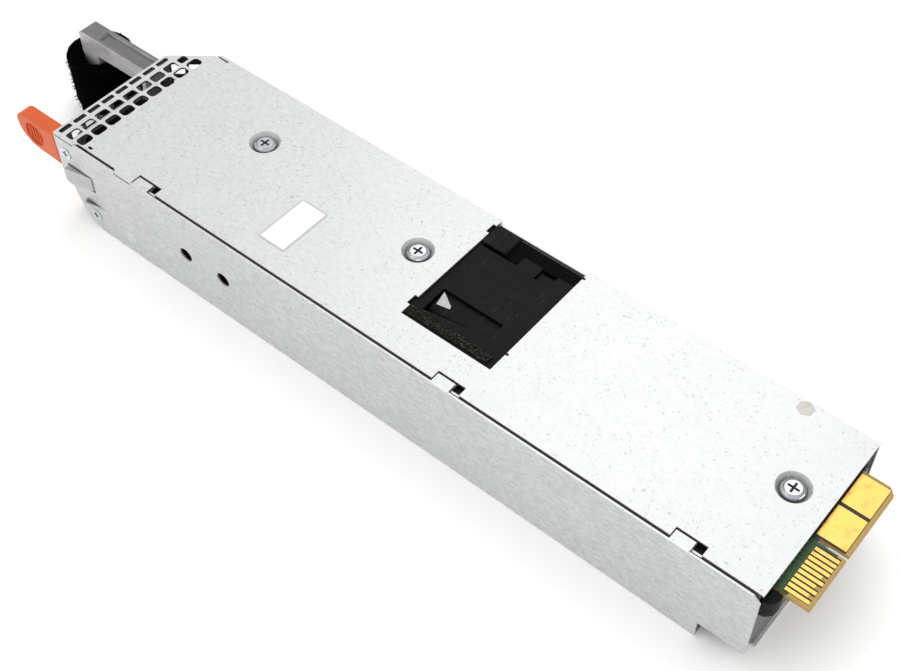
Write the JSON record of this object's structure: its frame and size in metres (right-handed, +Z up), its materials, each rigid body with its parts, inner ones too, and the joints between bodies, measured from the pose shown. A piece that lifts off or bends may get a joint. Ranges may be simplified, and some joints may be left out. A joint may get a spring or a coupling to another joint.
{
  "type": "hot swap server power supply",
  "caption": "Long flat hot swap power supply in a folded steel case, with a loop handle and sprung release lever at one end and a stepped edge connector at the other.",
  "frame": {"origin": "centre of the case's bottom face", "axes": "+Y runs from the handle end to the edge connector, +X points to the wall with the latch, +Z is up"},
  "size_m": [0.0682, 0.3472, 0.0396],
  "materials": {
    "galvanised": "galvanised, fine mottling",
    "bright_steel": "bright plated",
    "spring_steel": "rolled",
    "label_white": "matt film",
    "black_plastic": "fine moulded grain",
    "foam_grey": "speckled foam",
    "smoke_plastic": "translucent grey",
    "strap_fabric": "hook and loop pile",
    "orange_plastic": "satin moulded",
    "board_green": "solder mask over laminate",
    "film_black": "thin insulating film",
    "gold_plate": "gold plated",
    "tin_plate": "tinned",
    "lamp_clear": "diffuse lens",
    "wire_brown": "insulated wire",
    "ferrite": "coated core",
    "copper": "enamelled wire",
    "component_yellow": "moulded case",
    "component_blue": "dipped coating",
    "component_black": "moulded epoxy",
    "fuse_ceramic": "ceramic tube",
    "aluminium": "extruded"
  },
  "bodies": {
    "supply": {"base_tray": "galvanised", "top_cover": "galvanised", "front_panel": "galvanised", "cover_screws": "bright_steel", "side_screws": "bright_steel", "clinch_stud": "bright_steel", "blank_label": "label_white", "fan_cradle": "black_plastic", "foam_strip": "foam_grey", "spring_clip": "bright_steel", "handle": "smoke_plastic", "handle_screws": "bright_steel", "leaf_foot": "spring_steel", "foot_rivet": "bright_steel", "main_board": "board_green", "insulator_sheet": "film_black", "bottom_insulator": "film_black", "power_pads": "gold_plate", "signal_contacts": "gold_plate", "board_vias": "tin_plate", "board_guide": "black_plastic", "board_spacers": "bright_steel", "inlet_socket": "black_plastic", "inlet_pins": "tin_plate", "inlet_wires": "wire_brown", "status_lamp": "lamp_clear", "fan_frame": "black_plastic", "fan_bearings": "bright_steel", "fan_stator": "copper", "common_mode_cores": "ferrite", "common_mode_windings": "copper", "boost_choke": "copper", "film_capacitors": "component_yellow", "line_fuse": "fuse_ceramic", "varistor": "component_blue", "primary_heatsink": "aluminium", "primary_transistors": "component_black", "bridge_rectifier": "component_black", "bulk_capacitor": "component_black", "transformer_core": "ferrite", "transformer_winding": "component_yellow", "secondary_heatsink": "aluminium", "secondary_transistors": "component_black", "output_choke": "ferrite", "output_capacitors": "component_black", "control_board": "board_green"},
    "latch": {"release_lever": "orange_plastic", "latch_leaf": "spring_steel", "lever_rivets": "bright_steel"},
    "rotor": {"fan_impeller": "black_plastic", "fan_shaft": "bright_steel"},
    "strap": {"cable_strap": "strap_fabric"}
  },
  "joints": [
    {"name": "latch_flex", "type": "hinge", "parent": "supply", "child": "latch", "pos_m": [0.03145, -0.117, 0.0236], "axis": [0, 0, -1], "range_deg": [0, 6], "stiffness_Nm_per_rad": 2.5},
    {"name": "fan_spin", "type": "hinge", "parent": "supply", "child": "rotor", "pos_m": [-0.008, 0.021, 0.0191], "axis": [0, 1, 0], "continuous": true},
    {"name": "strap_turn", "type": "hinge", "parent": "supply", "child": "strap", "pos_m": [-0.0158, -0.17965, 0.0146], "axis": [0, 0, 1], "range_deg": [-90, 90]}
  ]
}
